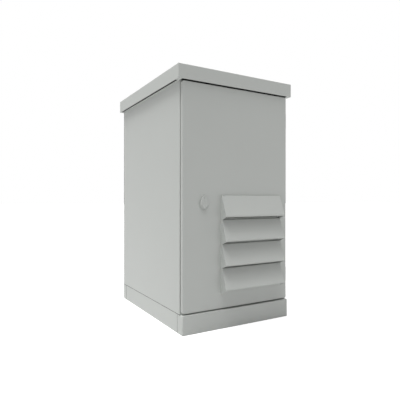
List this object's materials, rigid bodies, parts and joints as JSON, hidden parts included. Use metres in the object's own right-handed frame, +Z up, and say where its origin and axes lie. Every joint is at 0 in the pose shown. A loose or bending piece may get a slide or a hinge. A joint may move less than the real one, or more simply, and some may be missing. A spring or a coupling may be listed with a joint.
{
  "type": "climate-controlled cabinet",
  "caption": "Free-standing outdoor equipment cabinet on a plinth: hinged door with a louvred air inlet, finned heat exchanger with fans behind it, rod lock, rack rails inside, hood roof",
  "frame": {"origin": "centre of the four anchor holes, on the floor under the plinth", "axes": "+Z up, -Y out of the door, +X to the hinge side"},
  "size_m": [0.75, 0.946, 1.378],
  "materials": {
    "paint": "fine light grey powder coat",
    "zinc": "zinc-plated sheet",
    "fins": "extruded",
    "cast_metal": "cast and coated in the door's grey",
    "dark_casting": "coated casting",
    "brass": "turned",
    "rubber": "moulded",
    "foam": "foamed seal",
    "filter": "coarse fibre mat",
    "black_plastic": "moulded",
    "dark_plastic": "moulded",
    "pale_plastic": "moulded"
  },
  "bodies": {
    "cabinet": {"breaker_body": "pale_plastic", "cable_lips": "rubber", "cable_plate": "zinc", "climate_control_body": "pale_plastic", "din_rail": "zinc", "floor_panel": "paint", "hinge_body_leaves": "paint", "plinth_front": "paint", "plinth_rear": "paint", "plinth_side_left": "paint", "plinth_side_right": "paint", "rack_beam_lower_left": "zinc", "rack_beam_lower_right": "zinc", "rack_beam_upper_left": "zinc", "rack_beam_upper_right": "zinc", "rack_rail_front_left": "zinc", "rack_rail_front_right": "zinc", "rack_rail_rear_left": "zinc", "rack_rail_rear_right": "zinc", "rear_panel": "paint", "roof": "paint", "roof_rail_left": "zinc", "roof_rail_right": "zinc", "side_panel_left": "paint", "side_panel_right": "paint", "top_panel": "paint"},
    "door": {"door_panel": "paint", "door_gasket": "foam", "door_stiffener_upper": "zinc", "door_stiffener_lower": "zinc", "hinge_door_leaves": "paint", "louvre_frame": "paint", "louvre_blade_1": "paint", "louvre_blade_2": "paint", "louvre_blade_3": "paint", "louvre_blade_4": "paint", "lock_housing": "cast_metal", "lock_case": "dark_casting", "rod_guides": "black_plastic", "filter_mat": "filter", "climate_casing": "zinc", "climate_cover": "paint", "climate_partition": "zinc", "outer_heat_sink": "fins", "inner_heat_sink": "fins", "outer_fan_frame": "black_plastic", "inner_fan_frame": "black_plastic"},
    "lock_barrel_body": {"lock_barrel": "brass"},
    "lock_cover_body": {"lock_cover": "cast_metal"},
    "upper_rod": {"lock_rod_upper": "zinc"},
    "lower_rod": {"lock_rod_lower": "zinc"},
    "outer_fan": {"outer_fan_impeller": "black_plastic"},
    "inner_fan": {"inner_fan_impeller": "black_plastic"},
    "dial": {"climate_control_dial": "dark_plastic"},
    "lever": {"breaker_lever": "dark_plastic"}
  },
  "joints": [
    {"name": "door_swing", "type": "hinge", "parent": "cabinet", "child": "door", "pos_m": [0.358, -0.4195, 0.7], "axis": [0, 0, 1], "range_deg": [0, 130]},
    {"name": "lock_turn", "type": "hinge", "parent": "door", "child": "lock_barrel_body", "pos_m": [-0.22, -0.44, 0.668], "axis": [0, 1, 0], "range_deg": [0, 90]},
    {"name": "upper_rod_slide", "type": "slide", "parent": "door", "child": "upper_rod", "axis": [0, 0, 1], "range_m": [0, 0.02]},
    {"name": "lower_rod_slide", "type": "slide", "parent": "door", "child": "lower_rod", "axis": [0, 0, -1], "range_m": [0, 0.02]},
    {"name": "lock_cover_swing", "type": "hinge", "parent": "door", "child": "lock_cover_body", "pos_m": [-0.22, -0.4474, 0.706], "axis": [0, 1, 0], "range_deg": [-150, 150]},
    {"name": "outer_fan_spin", "type": "hinge", "parent": "door", "child": "outer_fan", "pos_m": [0.089, -0.409, 0.45025], "axis": [0, 1, 0], "continuous": true},
    {"name": "inner_fan_spin", "type": "hinge", "parent": "door", "child": "inner_fan", "pos_m": [0.089, -0.306, 0.45025], "axis": [0, 1, 0], "continuous": true},
    {"name": "climate_dial_turn", "type": "hinge", "parent": "cabinet", "child": "dial", "pos_m": [-0.09, -0.311, 1.2038], "axis": [0, 1, 0], "range_deg": [-135, 135]},
    {"name": "breaker_lever_throw", "type": "hinge", "parent": "cabinet", "child": "lever", "pos_m": [-0.02, -0.3295, 1.2038], "axis": [1, 0, 0], "range_deg": [0, 70]}
  ],
  "couplings": [
    {"joint": "lock_turn", "follows": "upper_rod_slide", "rad_per_m": 78.5},
    {"joint": "lower_rod_slide", "follows": "upper_rod_slide", "ratio": 1}
  ]
}
